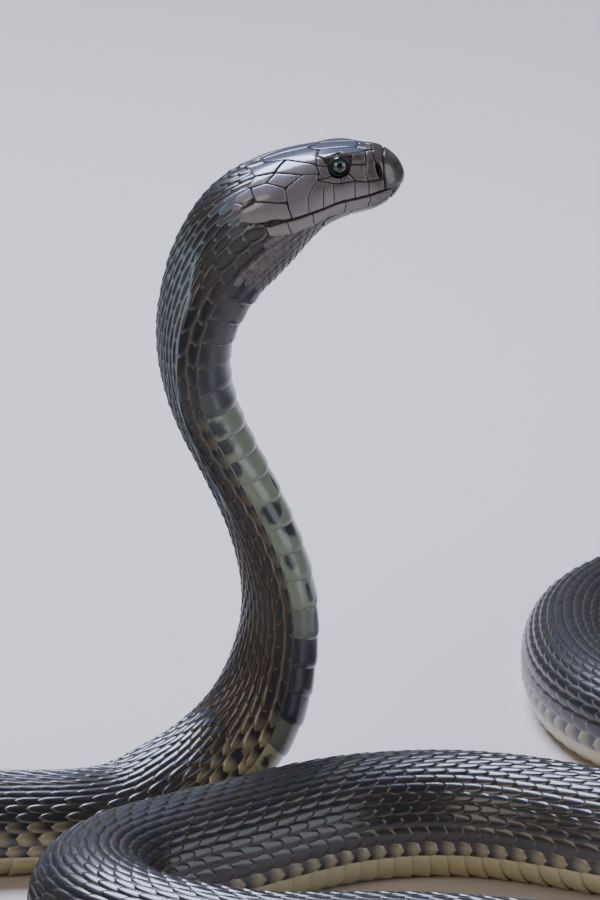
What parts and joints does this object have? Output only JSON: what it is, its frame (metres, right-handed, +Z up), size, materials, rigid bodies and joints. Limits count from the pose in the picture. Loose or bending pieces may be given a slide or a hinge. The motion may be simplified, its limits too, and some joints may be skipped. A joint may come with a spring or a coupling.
{
  "type": "egyptian cobra",
  "caption": "Still life-size Egyptian cobra with its head and neck raised in an S curve over loose coils that lie flat on the floor.",
  "frame": {"origin": "on the floor, in the middle of the model's footprint", "axes": "+Z up, +X the way the head faces, +Y to the animal's left"},
  "size_m": [0.3662, 0.4478, 0.2061],
  "materials": {
    "scaled_skin": "smooth glossy scales",
    "head_shields": "smooth glossy shields",
    "eye_cap": "clear wet gloss"
  },
  "bodies": {
    "root": {"eye_left": "eye_cap", "eye_right": "eye_cap", "head": "head_shields", "hood_01": "scaled_skin", "lower_jaw": "head_shields", "neck_01": "scaled_skin", "tail_01": "scaled_skin", "tail_02": "scaled_skin", "tail_03": "scaled_skin", "trunk_01": "scaled_skin", "trunk_02": "scaled_skin", "trunk_03": "scaled_skin", "trunk_04": "scaled_skin", "trunk_05": "scaled_skin", "trunk_06": "scaled_skin", "trunk_07": "scaled_skin", "trunk_08": "scaled_skin", "trunk_09": "scaled_skin", "trunk_10": "scaled_skin", "trunk_11": "scaled_skin", "trunk_12": "scaled_skin", "trunk_13": "scaled_skin", "trunk_14": "scaled_skin", "trunk_15": "scaled_skin", "trunk_16": "scaled_skin", "trunk_17": "scaled_skin"}
  },
  "joints": []
}
